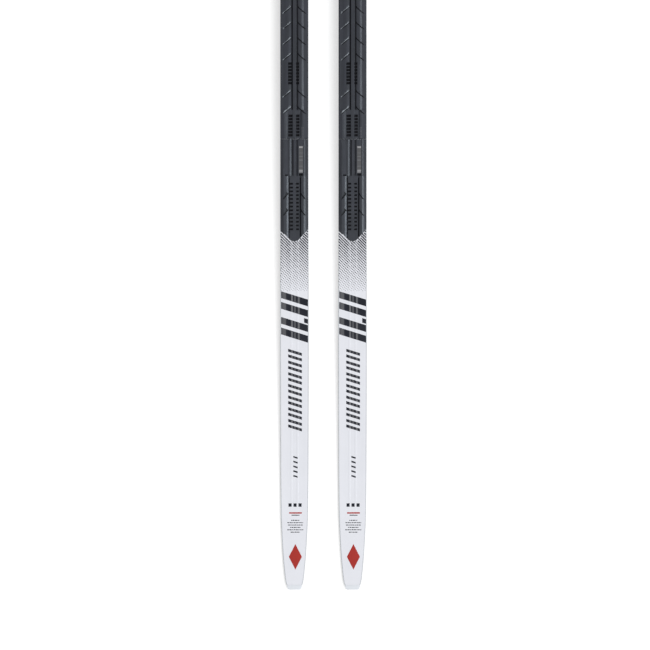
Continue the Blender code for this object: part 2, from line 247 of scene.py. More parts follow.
OUTLINE = read_outline(SKIS[0])
LENGTH = OUTLINE["s"][-1]


def half_width(s):
    return smooth(OUTLINE["half"], s)


def bottom(s):
    return smooth(OUTLINE["low"], s)


def top(s):
    return smooth(OUTLINE["high"], s)


def ease(t):
    t = np.clip(t, 0, 1)
    return t * t * (3 - 2 * t)


def sheet_height(x, s):
    """Height of the topsheet's upper face, its rounded edges included."""
    fade = ease((s - RIB_SPAN[0]) / RIB_FADE) * ease((RIB_SPAN[1] - s) / RIB_FADE)
    rib = RIB_HEIGHT * fade * ease((RIB_HALF - np.abs(np.abs(x) - RIB_CENTRE)) / RIB_FLANK)
    dish = DISH_HEIGHT * ease((np.abs(x) - DISH_START) / (DISH_END - DISH_START))
    inside = np.clip(half_width(s) - np.abs(x), 0, EDGE_ROUND)
    edge = EDGE_ROUND - np.sqrt(EDGE_ROUND**2 - (EDGE_ROUND - inside) ** 2)
    return top(s) - RELIEF + rib + dish - edge


# ---------------------------------------------------------------- meshes


def make_object(name, points, faces, material, sharp=35):
    """A mesh from points (x, s, height) in mm, in the ski's own frame."""
    points = np.array(points, float)
    points[:, 1] += OUTLINE["tail"]
    mesh = bpy.data.meshes.new(name)
    mesh.from_pydata((points * MM).tolist(), [], faces)
    shape = bmesh.new()
    shape.from_mesh(mesh)
    bmesh.ops.recalc_face_normals(shape, faces=shape.faces)
    shape.to_mesh(mesh)
    shape.free()
    mesh.shade_smooth()
    mesh.set_sharp_from_angle(angle=math.radians(sharp))
    mesh.materials.append(material)
    obj = bpy.data.objects.new(name, mesh)
    bpy.context.scene.collection.objects.link(obj)
    return obj


def add_pair(name, made, nodes=()):
    """Puts a piece on each ski, sharing one mesh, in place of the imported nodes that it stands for."""
    for ski in SKIS:
        piece = made if ski == SKIS[0] else bpy.data.objects.new(name, made.data)
        if ski != SKIS[0]:
            bpy.context.scene.collection.objects.link(piece)
        piece.name = f"{ski}_{name}"
        piece.location.x = centre_of(ski)
        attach(piece, ski)
        if nodes:
            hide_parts(*[f"{ski}_{node}" for node in nodes])


END_STEPS = (0.15, 0.4, 0.8, 1.4, 2.4, 4.0)
PLACE_GAP = 0.05  # least distance between two places along the ski
LINE_GAP = 0.04  # and between two grid lines of a plate


def thinned(values, low, high, gap):
    """The values from low to high in order, without those within the gap of the one before."""
    kept = np.unique(np.round([v for v in values if low <= v <= high], 3))
    return kept[np.concatenate([[True], np.diff(kept) > gap])]


def distances(start, end, step=8.0, near=()):
    """Places along the ski, closer together near its ends and round the given ones."""
    count = max(2, int(round((end - start) / step)) + 1)
    places = list(np.linspace(start, end, count))
    for offset in END_STEPS:
        places += [start + offset, end - offset]
    return thinned([*places, *near], start, end, PLACE_GAP)


def band(name, s, section, material, sharp=35):
    """A closed solid whose cross-section at each place is section(s): a loop of (x, height)."""
    rings = [np.array(section(place), float) for place in s]
    count = len(rings[0])
    loops = [np.column_stack([ring[:, 0], np.full(count, at), ring[:, 1]]) for at, ring in zip(s, rings)]
    faces = []
    for row in range(len(s) - 1):
        for i in range(count):
            j = (i + 1) % count
            faces.append((row * count + i, row * count + j, (row + 1) * count + j, (row + 1) * count + i))
    faces.append(tuple(range(count)))
    faces.append(tuple(range((len(s) - 1) * count, len(s) * count)))
    return make_object(name, np.concatenate(loops), faces, material, sharp)


def block(half, low, high):
    return [(-half, low), (half, low), (half, high), (-half, high)]


# ---------------------------------------------------------------- body of the ski


def base_section(s):
    """The running base, with a rounded guide groove and broken lower edges."""
    low, half = bottom(s), half_width(s)
    into = min(s - GROOVE_SPAN[0], GROOVE_SPAN[1] - s) / GROOVE_FADE
    depth = GROOVE_DEPTH * float(ease(into))
    turn = np.linspace(math.pi, 0, 11)
    groove = [(GROOVE_HALF * math.cos(a), low + depth * math.sin(a) ** GROOVE_ROUND) for a in turn]
    return [
        (-half, low + BASE_BEVEL), (-half + BASE_BEVEL, low), *groove,
        (half - BASE_BEVEL, low), (half, low + BASE_BEVEL), (half, low + BASE_TOP), (-half, low + BASE_TOP),
    ]


def sheet_section(s):
    """The topsheet: flat below, with its ribs, dish and rounded edges above."""
    half = float(half_width(s))
    inner = RIB_PLACES[-1]
    outer = inner + np.array(DISH_SHARES) * (half - DISH_MARGIN - inner)
    rim = half - EDGE_ROUND * (1 - np.sin(np.linspace(0, math.pi / 2, 6)))
    right = np.concatenate([RIB_PLACES, outer, rim])
    across = np.concatenate([-right[:0:-1], right])
    upper = [(x, float(sheet_height(x, s))) for x in across]
    low = top(s) - SHEET_DEPTH - RELIEF
    return [(-half, low), (half, low), *reversed(upper)]


def sidewall_section(side):
    def section(s):
        outer = side * half_width(s)
        inner = outer - side * SIDEWALL_DEPTH
        low = bottom(s) + BOTTOM_LAMINATE[1] + LAYER_GAP
        high = top(s) - TOP_LAMINATE[0] - RELIEF
        return [(inner, low), (outer, low), (outer, high), (inner, high)]

    return section


def bottom_laminate_section(s):
    low = bottom(s)
    return block(half_width(s) - LAMINATE_INSET, low + BOTTOM_LAMINATE[0], low + BOTTOM_LAMINATE[1])


def top_laminate_section(s):
    high = top(s) - RELIEF
    return block(half_width(s) - LAMINATE_INSET, high - TOP_LAMINATE[0] + LAYER_GAP, high - TOP_LAMINATE[1])


def cap_section(end):
    """An end cap as deep as the ski, rounded off towards its free end."""

    def section(s):
        away = min(abs(s - end), CAP_RADIUS)
        inset = CAP_RADIUS - math.sqrt(CAP_RADIUS**2 - (CAP_RADIUS - away) ** 2)
        half = float(half_width(s)) - CAP_SIDE_SHARE * inset
        low = float(bottom(s)) + CAP_FACE_SHARE * inset
        high = float(top(s)) - RELIEF - CAP_FACE_SHARE * inset
        corner = min(CAP_CORNER, half / 3)
        angles = np.linspace(0, math.pi / 2, 4)
        turn = [(half - corner * (1 - math.cos(a)), corner * (1 - math.sin(a))) for a in angles]
        upper = [(x, high - inward) for x, inward in turn]
        lower = [(x, low + inward) for x, inward in reversed(turn)]
        right = lower + upper
        return right + [(-x, z) for x, z in reversed(right)]

    return section


def add_layers(paint, along):
    """The running base and the two laminates."""
    bends = [s for s in OUTLINE["s"] if s <= END_CURVES[0] or s >= END_CURVES[1]]
    bends = np.clip(bends, *span_of("base"))
    layers = (
        ("base", np.union1d(along, bends), base_section, "running_base"),
        ("bottom_laminate", along, bottom_laminate_section, "carbon_laminate"),
        ("top_laminate", along, top_laminate_section, "carbon_laminate"),
    )
    for name, places, section, slot in layers:
        add_pair(name, band(name, places, section, paint[slot]), [name])


def add_topsheet(paint, along):
    """The topsheet, with its greyer edges."""
    sheet = band("topsheet", along, sheet_section, paint["topsheet"], sharp=60)
    sheet.data.materials.append(paint["sheet_edge"])
    for face in sheet.data.polygons:
        x, y, _ = face.center / MM
        if abs(x) > half_width(y - OUTLINE["tail"]) - EDGE_LINE:
            face.material_index = 1
    add_pair("topsheet", sheet, ["topsheet"])


def add_sidewalls(paint, along):
    for side, word in ((-1, "left"), (1, "right")):
        made = band(f"sidewall_{word}", along, sidewall_section(side), paint["sidewall"])
        add_pair(f"sidewall_{word}", made, [f"sidewall_{word}"])


def add_end_caps(paint, start, end):
    """The tail and tip protectors, outside the two ends of the lay-up."""
    caps = (("tail_protector", 0, start - CAP_SEAM), ("tip_protector", LENGTH, end + CAP_SEAM))
    for name, free, seam in caps:
        along = distances(min(free, seam), max(free, seam), CAP_STEP)
        add_pair(name, band(name, along, cap_section(free), paint["end_plastic"]), [name])


def add_body(paint):
    start, end = span_of("base")
    along = distances(start, end, near=(*RIB_SPAN, *CONTACTS))
    add_layers(paint, along)
    add_topsheet(paint, along)
    add_sidewalls(paint, along)
    add_end_caps(paint, start, end)


# ---------------------------------------------------------------- binding plates


def rack(first, pitch, rows, left, right, length, floor):
    """Rows of pockets as (x from, x to, s from, s to, floor)."""
    found = []
    for row in range(rows):
        middle = first + row * pitch
        for low, high in (left, right):
            found.append((low, high, middle - length / 2, middle + length / 2, floor))
    return found


def rail_slots(across, start, end):
    return [(low, high, start, end, floor) for low, high, floor in across]


def profile_height(x, s, zones):
    """Height of the moulding at (x, s) before its pockets are cut."""
    x, s = np.broadcast_arrays(x, s)
    height = np.zeros(x.shape)
    for first, left, right in zones:
        reach = s >= first
        side = np.where(x < 0, np.interp(-x, *zip(*left)), np.interp(x, *zip(*right)))
        height = np.where(reach, side, height)
    return height


def pocket_height(x, s, height, pockets):
    offsets, shares = zip(*POCKET_EDGE)
    for x0, x1, s0, s1, floor in pockets:
        inside = np.minimum(np.minimum(x - x0, x1 - x), np.minimum(s - s0, s1 - s))
        share = np.interp(inside, offsets, shares)
        height = height + np.minimum(floor - height, 0) * share
    return height


def lines(edges, fixed, low, high):
    """Grid lines: the fixed ones, and three for each pocket edge, given as (place, inward direction)."""
    round_pockets = [place + inward * offset for place, inward in edges for offset, _ in POCKET_EDGE]
    return thinned([*fixed, *round_pockets], low, high, LINE_GAP)


def plate_grid(start, end, nose_at_start, zones, pockets):
    """Grid lines of a plate: places across it, and places along it."""
    profiles = [pair for _, left, right in zones for pair in ((-1, left), (1, right))]
    knots = sorted({side * x for side, profile in profiles for x, _ in profile})
    edges = [(x, 1) for x, *_ in pockets] + [(x, -1) for _, x, *_ in pockets]
    columns = lines(edges, knots, RIM_WIDTH - PLATE_EDGE, PLATE_EDGE - RIM_WIDTH)
    bounds = [(s, 1) for _, _, s, _, _ in pockets] + [(s, -1) for _, _, _, s, _ in pockets]
    blends = [first + offset for first, _, _ in zones[1:] for offset in (-ZONE_BLEND / 2, -0.01)]
    nose = (start, start + NOSE_LENGTH) if nose_at_start else (end - NOSE_LENGTH, end)
    fixed = [start, start + RIM_WIDTH, end - RIM_WIDTH, end, *blends]
    fixed += list(np.linspace(start, end, int((end - start) / 5))) + list(np.linspace(*nose, 30))
    return columns, lines(bounds, fixed, start, end)


def plate_row(place, away, towards, columns, zones, pockets):
    """Points (x, s, height) across a plate from rim to rim, at a distance away from its blunt end."""
    bow = NOSE_BOW * (1 - float(ease(away / NOSE_FADE)))
    half = min(PLATE_EDGE, NOSE_HALF + (away + bow - NOSE_BOW) * NOSE_SLANT)
    order = COLUMN_STEP * np.arange(1, len(columns) + 1)
    x = np.clip(columns, RIM_WIDTH - half + order, half - RIM_WIDTH - order[::-1])
    s = place + towards * bow * np.minimum(np.abs(x), NOSE_HALF) ** 2 / NOSE_HALF**2
    height = pocket_height(x, s, profile_height(x, place, zones), pockets)
    rise = RIM_HEIGHT + RIM_SLOPE * np.maximum(half - RIM_WIDTH - np.abs(x), 0)
    open_end = END_HEIGHT + END_SLOPE * max(away, 0)
    height = np.minimum(height, np.minimum(rise, open_end))
    edge_s = place + towards * bow
    return np.array([(-half, edge_s, RIM_FOOT), *zip(x, s, height), (half, edge_s, RIM_FOOT)])


def plate_mesh(name, start, end, nose_at_start, zones, pockets, paint):
    """A moulded plate as a closed grid. One end is blunt with slanted corners, the other straight."""
    columns, places = plate_grid(start, end, nose_at_start, zones, pockets)
    rows = []
    for place in places:
        away, towards = (place - start, 1) if nose_at_start else (end - place, -1)
        rows.append(plate_row(place, away, towards, columns, zones, pockets))
    plate = close_grid(name, rows, paint["binding_plate"])
    plate.data.materials.append(paint["pocket"])
    plate.data.materials.append(paint["painted_highlight_plate"])
    # Faces inside pockets, slots and channels, above the underside, take the near-black painted shade
    for face in plate.data.polygons:
        x, y, z = face.center / MM
        s = y - OUTLINE["tail"]
        inside = any(x0 < x < x1 and s0 < s < s1 for x0, x1, s0, s1, _ in pockets)
        above_underside = z > top(s) + PLATE_LIFT + 0.05
        if inside and above_underside:
            face.material_index = PAINTED_SHADE
    return plate


def close_grid(name, rows, material):
    """Closes a grid of heights above the plate's underside with walls and a flat underside."""
    count = len(rows[0])
    upper = np.concatenate(rows)
    upper[:, 2] += top(upper[:, 1]) + PLATE_LIFT
    lower = upper.copy()
    lower[:, 2] = top(lower[:, 1]) + PLATE_LIFT
    offset = len(upper)
    last = len(rows) - 1
    faces = []
    for row in range(last):
        for i in range(count - 1):
            at = row * count + i
            faces.append((at, at + 1, at + count + 1, at + count))
            faces.append((offset + at, offset + at + count, offset + at + count + 1, offset + at + 1))
        for at in (row * count, row * count + count - 1):
            faces.append((at, at + count, offset + at + count, offset + at))
    for first in (0, last * count):
        for at in range(first, first + count - 1):
            faces.append((at, at + 1, offset + at + 1, offset + at))
    return make_object(name, np.concatenate([upper, lower]), faces, material, PLATE_SHARP)


def chevron_prism(inner, side, reach, sweep, zones):
    """Points of one groove's cutter: at each place outwards its floor, then the tops of its two walls."""
    tip_wall, tail_wall = CHEVRON_WALLS[side]
    run = np.array([side * (reach[1] - reach[0]), -sweep])
    across = np.array([-run[1], run[0]]) / np.linalg.norm(run)
    points = []
    for x in np.linspace(reach[0], reach[1], CHEVRON_RINGS):
        t = (x - reach[0]) / (reach[1] - reach[0])
        place = np.array([side * x, inner - sweep * t])
        surface = float(profile_height(side * x, place[1], zones)) + float(top(place[1])) + PLATE_LIFT
        depth = CHEVRON_DEPTH * min(1.0, CHEVRON_RUNOUT * (1 - t) + CHEVRON_LAST)
        for offset, rise in ((0, 0), (tip_wall, CHEVRON_TALL), (-tail_wall, CHEVRON_TALL)):
            points.append((*(place + side * offset * across), surface - depth + rise))
    return points


def prism_faces(first, rings):
    """Faces of a three-sided prism whose points start at the given index, its two ends last."""
    last = first + 3 * (rings - 1)
    faces = []
    for at in range(first, last, 3):
        for i in range(3):
            j = (i + 1) % 3
            faces.append((at + i, at + j, at + 3 + j, at + 3 + i))
    return [*faces, (first, first + 1, first + 2), (last, last + 1, last + 2)]


def chevron_cutter(plate, inner_ends, reach, sweep, zones, highlight_left):
    """Prisms that cut V-grooves swept back on both sides, their walls in near-black painted shade. When asked,
    the left ones have a paler tip side: a painted highlight on the wall that faces the light.
    """
    points, faces, shades = [], [], []
    for inner in inner_ends:
        for side in CHEVRON_WALLS:
            tip_side = PAINTED_HIGHLIGHT if highlight_left and side == -1 else PAINTED_SHADE
            faces += prism_faces(len(points), CHEVRON_RINGS)
            shades += [tip_side, PAINTED_SHADE, PAINTED_SHADE] * (CHEVRON_RINGS - 1) + [PAINTED_SHADE, PAINTED_SHADE]
            points += chevron_prism(inner, side, reach, sweep, zones)
    cutter = make_object("cutter", points, faces, plate.data.materials[0])
    for material in plate.data.materials[1:]:
        cutter.data.materials.append(material)
    cutter.data.polygons.foreach_set("material_index", shades)
    return cutter


def cut(piece, cutter):
    """Takes the cutter away from the piece and keeps the result as its mesh."""
    boolean = piece.modifiers.new("cut", "BOOLEAN")
    boolean.operation = "DIFFERENCE"
    boolean.solver = "EXACT"
    boolean.use_self = True
    boolean.object = cutter
    shown = piece.evaluated_get(bpy.context.evaluated_depsgraph_get())
    mesh = bpy.data.meshes.new_from_object(shown)
    piece.modifiers.clear()
    piece.data = mesh
    mesh.shade_smooth()
    mesh.set_sharp_from_angle(angle=math.radians(PLATE_SHARP))
    bpy.data.objects.remove(cutter)


def add_plates(paint):
    start, end = span_of("plate_rear")
    first, short = REAR_SLOT_SPAN
    pockets = [*rack(*REAR_RACK), *REAR_CHANNELS, *rail_slots(REAR_SLOTS, first, end - short)]
    rear = plate_mesh("plate_rear", start, end, True, REAR_ZONES, pockets, paint)
    cut(rear, chevron_cutter(rear, *REAR_CHEVRONS, REAR_ZONES, False))
    add_pair("plate_rear", rear, ["plate_rear"])
    start, end = span_of("plate_front")
    first, short = FRONT_SLOT_SPAN
    pockets = [pocket for each in FRONT_RACKS for pocket in rack(*each)]
    pockets += rail_slots(FRONT_SLOTS, first, end - short)
    front = plate_mesh("plate_front", start, end, False, FRONT_ZONES, pockets, paint)
    cut(front, chevron_cutter(front, *FRONT_CHEVRONS, FRONT_ZONES, True))
    add_pair("plate_front", front, ["plate_front"])


def land_section(x0, x1, low, high):
    """A flat strip on the plate's land."""

    def section(s):
        floor = float(top(s)) + PLATE_LIFT
        return [(x0, floor + low), (x1, floor + low), (x1, floor + high), (x0, floor + high)]

    return section


def add_label(paint):
    """A printed strip of plain bars, with no reading."""
    start, end = LABEL_SPAN
    left, right = LABEL_EDGES
    section = land_section(left, right, LABEL_LAND + LAYER_GAP, LABEL_LAND + LABEL_THICK)
    made = band("plate_label", distances(start, end, 6), section, paint["label_ground"])
    add_pair("plate_label", made, ["plate_label"])
    for slot in ("label", "ink_grey"):
        low, high = (LABEL_LAND + LABEL_THICK + lift for lift in LABEL_INK)
        section = land_section(left + LABEL_MARGIN, right - LABEL_MARGIN, low, high)
        bars = [band("bar", [start + near, start + far], section, paint[slot])
                for near, far, kind in LABEL_BARS if kind == slot]
        add_pair(f"plate_label_bars_{slot}", join(bars))


def add_scale(paint):
    """Two short rows of fine marks moulded beside the front rack."""
    marks = []
    for row in range(SCALE_ROWS):
        at = SCALE_FROM + SCALE_PITCH * row
        for x in SCALE_AT:
            section = land_section(x - SCALE_MARK, x + SCALE_MARK, *SCALE_HEIGHTS)
            marks.append(band("mark", [at - SCALE_MARK, at + SCALE_MARK], section, paint["ink_grey"]))
    add_pair("plate_scale", join(marks))


def join(objects):
    """One object from several."""
    shape = bmesh.new()
    for obj in objects:
        shape.from_mesh(obj.data)
    for obj in objects[1:]:
        bpy.data.objects.remove(obj)
    shape.to_mesh(objects[0].data)
    shape.free()
    return objects[0]


def adhesive_section(s):
    high = float(top(s))
    return block(PLATE_EDGE - ADHESIVE_INSET, high - RELIEF + ADHESIVE_LIFT, high + PLATE_LIFT - LAYER_GAP)


def add_adhesive(paint):
    for name in ("adhesive_rear", "adhesive_front"):
        start, end = span_of(name)
        start -= SEAM_FILL if name == "adhesive_front" else 0
        made = band(name, distances(start, end), adhesive_section, paint["adhesive"])
        add_pair(name, made, [name])


# ---------------------------------------------------------------- printed pattern

INK = 0.05  # how far print stands off the sheet
PRINT_MARGIN = 0.35  # print stays this far inside the ski's edge
PRINT_CUT = 6  # print is cut this often along the ski, so that it follows the sheet
RIB_LINES = (3.0, 3.5, 4.0, 6.0, 6.5, 7.0, 11.5, 13.0, 15.0, 17.0, 19.0)  # and at these places across it


def print_mesh(name, shapes, material, split=True):
    """Flat convex shapes, as loops of (x, s), laid on the topsheet as one thin closed skin each."""
    shape = bmesh.new()
    for loop in shapes:
        shape.faces.new([shape.verts.new((x, s, 0)) for x, s in loop])
    if split:
        places = [s for _, s in (point for loop in shapes for point in loop)]
        cuts = [((x * side, 0, 0), (1, 0, 0)) for x in RIB_LINES for side in (-1, 1)]
        cuts += [((0, s, 0), (0, 1, 0)) for s in np.arange(min(places) + PRINT_CUT, max(places), PRINT_CUT)]
        for at, normal in cuts:
            parts = [*shape.verts, *shape.edges, *shape.faces]
            bmesh.ops.bisect_plane(shape, geom=parts, dist=1e-4, plane_co=at, plane_no=normal)
    shape.verts.index_update()
    flat = np.array([v.co for v in shape.verts])
    faces = [[v.index for v in face.verts] for face in shape.faces]
    rims = [(e.verts[0].index, e.verts[1].index) for e in shape.edges if len(e.link_faces) == 1]
    shape.free()
    count = len(flat)
    surface = sheet_height(flat[:, 0], flat[:, 1])
    points = np.concatenate([
        np.column_stack([flat[:, 0], flat[:, 1], surface + INK]),
        np.column_stack([flat[:, 0], flat[:, 1], surface - INK]),
    ])
    closed = faces + [[count + i for i in reversed(face)] for face in faces]
    closed += [(a, b, count + b, count + a) for a, b in rims]
    return make_object(name, points, closed, material)


def slanted_bar(x0, x1, s, width, slant):
    """A bar across the ski: its left end at s, its right end nearer the tail by the slant."""
    drop = slant * (x1 - x0)
    return [(x0, s - width / 2), (x1, s - width / 2 - drop), (x1, s + width / 2 - drop), (x0, s + width / 2)]


def clip_to_ski(loop):
    """Keeps a shape's points on the flat of the sheet."""
    kept = []
    for x, s in loop:
        limit = float(half_width(s)) - PRINT_MARGIN
        kept.append((min(max(x, -limit), limit), s))
    return kept


# Halftone: dots on a slanted lattice, each a chamfered block that lies along the lattice's second step
DOT_STEPS = ((-1.15, -3.38), (2.31, -2.28))
DOT_OUTLINE = ((1, 0.6), (0.6, 1), (-0.6, 1), (-1, 0.6), (-1, -0.6), (-0.6, -1), (0.6, -1), (1, -0.6))
DOT_AREA = 3.68  # of that outline, for half-sizes of 1
DOT_STRETCH = 1.8  # a dot's length over its width
DOT_REACH = 1.59  # the longest half-length, at which neighbours nearly meet
DOT_ROWS = 60  # lattice steps each way, more than the halftone needs
DOT_LIMIT = 22.2  # no dot's centre lies further from the centre line
HALFTONE_LENGTH = 80
HALFTONE_UNDER = 0.4  # how far it runs under the plate
HALFTONE_INK = 0.62  # share of the sheet that is covered next to the plate
HALFTONE_FADE = (1.17, 1.12)  # the ink would run out at this multiple of the length, with this exponent


def halftone_dots(edge, towards):
    """Long dots in slanted rows that shrink away from a plate's slanted end."""
    first, second = np.array(DOT_STEPS)
    cell = abs(first[0] * second[1] - first[1] * second[0])
    lean = second / np.linalg.norm(second)
    loops = []
    for i in range(-DOT_ROWS, DOT_ROWS):
        for j in range(-DOT_ROWS, DOT_ROWS):
            x, offset = i * first + j * second
            s = edge + offset
            distance = towards * (edge - s)
            slant = max(abs(x) - NOSE_HALF, 0) / NOSE_SLANT
            if abs(x) > DOT_LIMIT or distance > HALFTONE_LENGTH or distance < -slant - HALFTONE_UNDER:
                continue
            share = max(distance, 0) / (HALFTONE_FADE[0] * HALFTONE_LENGTH)
            coverage = HALFTONE_INK * (1 - share) ** HALFTONE_FADE[1]
            area = cell * coverage / DOT_AREA
            long = min(math.sqrt(area * DOT_STRETCH), DOT_REACH)
            wide = area / long
            loops.append(clip_to_ski([
                (x + a * long * lean[0] - b * wide * lean[1], s + a * long * lean[1] + b * wide * lean[0])
                for a, b in DOT_OUTLINE
            ]))
    return loops


ITALIC = 0.31  # slant of the stripes, strokes and ticks, as drop over width
# Slanted bars across the ski: x from, x to, width along the ski
STRIPE = (-21.2, 21.8, 11)
STRIPES_AT = (472.5, 455.5, 431.5, 414.5)
STRIPE_TICK = (15.5, 21.8, 7.4)
STRIPE_TICK_AT = 431.4
STROKE = (-10, 12, 4.6)
STROKE_PAIRS = (379.4, -18.7, 7)  # first pair, pitch and number of pairs
STROKE_OFFSETS = (4.2, -4.6)
TICK = (-1.8, 5.2, 2.6)
TICKS = (213, -7.6, 5)
SIZE_BARS = (-9.5, 8, 3)  # the first bar's left edge, pitch across the ski and number
SIZE_BAR = (5, 5.5, 135.5)  # width, length and place
RED_BAR = (-8.6, 12, 2.2)
RED_BAR_AT = 122.8
THIN_BAR = (-4.6, 8.0, 1.3)
THIN_BAR_AT = 119.2
DASH_ROWS = (6.6, 12.6, 11.8, 8.4, 12.8, 7.4)  # half-length of each row
DASH_CENTRE = 1.4
DASH_FROM = 111
DASH_PITCH = 3.8
DASH_LENGTHS = (1.8, 2.7, 3.6)
DASH_WIDTH = 1.35
DASH_GAP = 0.7
LOZENGES = {  # name: (x, s of its middle, half-width, half-length)
    "tail_lozenge": (1.5, 52.5, 10.5, 20.5),
    "tip_lozenge": (0, 1786, 9, 24),
}


def bar_at(shape, s, slant=0.0):
    """A slanted bar as print needs it, from its (x from, x to, width)."""
    x0, x1, width = shape
    return slanted_bar(x0, x1, s, width, slant)


def row_of(first, pitch, count):
    return [first + pitch * i for i in range(count)]


def printed(name, shapes, paint, slot):
    add_pair(name, print_mesh(name, shapes, paint[slot]))


def dash_rows():
    """Rows of dashes in three lengths, which stand in for fine print."""
    dashes = []
    for row, half in enumerate(DASH_ROWS):
        start, index = DASH_CENTRE - half, row
        while start < DASH_CENTRE + half:
            length = min(DASH_LENGTHS[index % 3], DASH_CENTRE + half - start)
            dashes.append(bar_at((start, start + length, DASH_WIDTH), DASH_FROM - DASH_PITCH * row))
            start += length + DASH_GAP
            index += 1
    return dashes


def add_print(paint):
    rear, front = span_of("plate_rear")[0], span_of("plate_front")[1]
    for name, edge, towards in (("rear", rear, 1), ("front", front, -1)):
        dots = print_mesh("halftone", halftone_dots(edge, towards), paint["ink_black"], split=False)
        add_pair(f"halftone_{name}", dots)
    stripes = [bar_at(STRIPE, s, ITALIC) for s in STRIPES_AT]
    printed("bold_stripes", [*stripes, bar_at(STRIPE_TICK, STRIPE_TICK_AT, ITALIC)], paint, "ink_black")
    strokes = [bar_at(STROKE, s + offset, ITALIC) for s in row_of(*STROKE_PAIRS) for offset in STROKE_OFFSETS]
    printed("stroke_band", strokes, paint, "ink_black")
    printed("small_ticks", [bar_at(TICK, s, ITALIC) for s in row_of(*TICKS)], paint, "ink_black")
    wide, tall, at = SIZE_BAR
    printed("size_bars", [bar_at((x, x + wide, tall), at) for x in row_of(*SIZE_BARS)], paint, "ink_black")
    printed("red_bar", [bar_at(RED_BAR, RED_BAR_AT)], paint, "ink_red")
    printed("thin_bar", [bar_at(THIN_BAR, THIN_BAR_AT)], paint, "ink_black")
    printed("dash_rows", dash_rows(), paint, "ink_black")
    for name, (x, s, half, reach) in LOZENGES.items():
        printed(name, [[(x, s - reach), (x + half, s), (x, s + reach), (x - half, s)]], paint, "ink_red")


# ---------------------------------------------------------------- materials


class Finish:
    """A Principled material built up from object-space patterns."""

    def __init__(self, name, colour, roughness, specular=0.5, coat=0.0, coat_roughness=0.2):
        self.material = bpy.data.materials.new(name)
        self.material.use_nodes = True
        self.tree = self.material.node_tree
        self.shader = self.tree.nodes["Principled BSDF"]
        self.shader.inputs["Specular IOR Level"].default_value = specular
        self.shader.inputs["Coat Weight"].default_value = coat
        self.shader.inputs["Coat Roughness"].default_value = coat_roughness
        self.place = self.node("ShaderNodeTexCoord").outputs["Object"]
        self.colour = self.node("ShaderNodeRGB").outputs[0]
        self.colour.default_value = (*colour, 1)
        self.rough = self.node("ShaderNodeValue").outputs[0]
        self.rough.default_value = roughness
        self.normal = None

    def node(self, kind, **inputs):
        made = self.tree.nodes.new(kind)
        for name, value in inputs.items():
            self.link_or_set(made.inputs[name.replace("_", " ")], value)
        return made

    def link_or_set(self, socket, value):
        if isinstance(value, bpy.types.NodeSocket):
            self.tree.links.new(value, socket)
        else:
            socket.default_value = value

    def stretched(self, scale):
        return self.node("ShaderNodeMapping", Vector=self.place, Scale=scale).outputs[0]

    def noise(self, scale, stretch=(1, 1, 1), detail=3.0):
        where = self.stretched(stretch)
        return self.node("ShaderNodeTexNoise", Vector=where, Scale=scale, Detail=detail).outputs["Fac"]

    def ramp(self, value, low, high, to_low=0.0, to_high=1.0):
        reach = {"From_Min": low, "From_Max": high, "To_Min": to_low, "To_Max": to_high}
        return self.node("ShaderNodeMapRange", Value=value, **reach).outputs[0]

    def tint(self, mask, colour):
        """Mixes another colour in where the mask is 1."""
        mix = self.tree.nodes.new("ShaderNodeMix")
        mix.data_type = "RGBA"
        self.link_or_set(mix.inputs[0], mask)
        self.link_or_set(mix.inputs[6], self.colour)
        self.link_or_set(mix.inputs[7], (*colour, 1))
        self.colour = mix.outputs[2]

    def roughen(self, mask, amount):
        """Adds to the roughness where the mask is 1."""
        scaled = self.node("ShaderNodeMath")
        scaled.operation = "MULTIPLY_ADD"
        self.link_or_set(scaled.inputs[0], mask)
        scaled.inputs[1].default_value = amount
        self.link_or_set(scaled.inputs[2], self.rough)
        self.rough = scaled.outputs[0]

    def streaks(self, bands):
        """1 along lines that run down the ski, each given as (x, half-width, softness, weight) in mm."""
        x = self.node("ShaderNodeSeparateXYZ", Vector=self.place).outputs["X"]
        total = None
        for centre, half, soft, weight in bands:
            away = self.math("ABSOLUTE", self.math("SUBTRACT", x, centre * MM))
            band = self.ramp(away, half * MM, (half + soft) * MM, weight, 0.0)
            total = band if total is None else self.math("ADD", total, band)
        return total

    def math(self, operation, first, second=None):
        made = self.tree.nodes.new("ShaderNodeMath")
        made.operation = operation
        self.link_or_set(made.inputs[0], first)
        if second is not None:
            self.link_or_set(made.inputs[1], second)
        return made.outputs[0]

    def bump(self, height, depth_mm, strength=1.0):
        made = self.node("ShaderNodeBump", Height=height, Distance=depth_mm * MM, Strength=strength)
        if self.normal is not None:
            self.tree.links.new(self.normal, made.inputs["Normal"])
        self.normal = made.outputs[0]

    def done(self):
        self.tree.links.new(self.colour, self.shader.inputs["Base Color"])
        self.tree.links.new(self.rough, self.shader.inputs["Roughness"])
        if self.normal is not None:
            self.tree.links.new(self.normal, self.shader.inputs["Normal"])
            if self.shader.inputs["Coat Weight"].default_value:
                self.tree.links.new(self.normal, self.shader.inputs["Coat Normal"])
        return self.material


def plain_finish(name, colour, darker, roughness, grain, depth, stretch=(1, 1, 1), **kind):
    """Broad mottling, fine grain and a little uneven gloss, which every material starts from."""
    made = Finish(name, colour, roughness, **kind)
    mottle = made.noise(28, stretch)
    made.tint(made.ramp(mottle, 0.35, 0.75), darker)
    fine = made.noise(grain, stretch, detail=2.0)
    made.roughen(made.ramp(made.noise(120, stretch), 0.3, 0.7), 0.12)
    made.bump(fine, depth)
    return made


LACQUER = {"specular": 0.28, "coat": 0.08, "coat_roughness": 0.25}
SHEET_GRAIN = (900, 0.012)  # scale of the grain and its depth in mm, on the sheet and its print

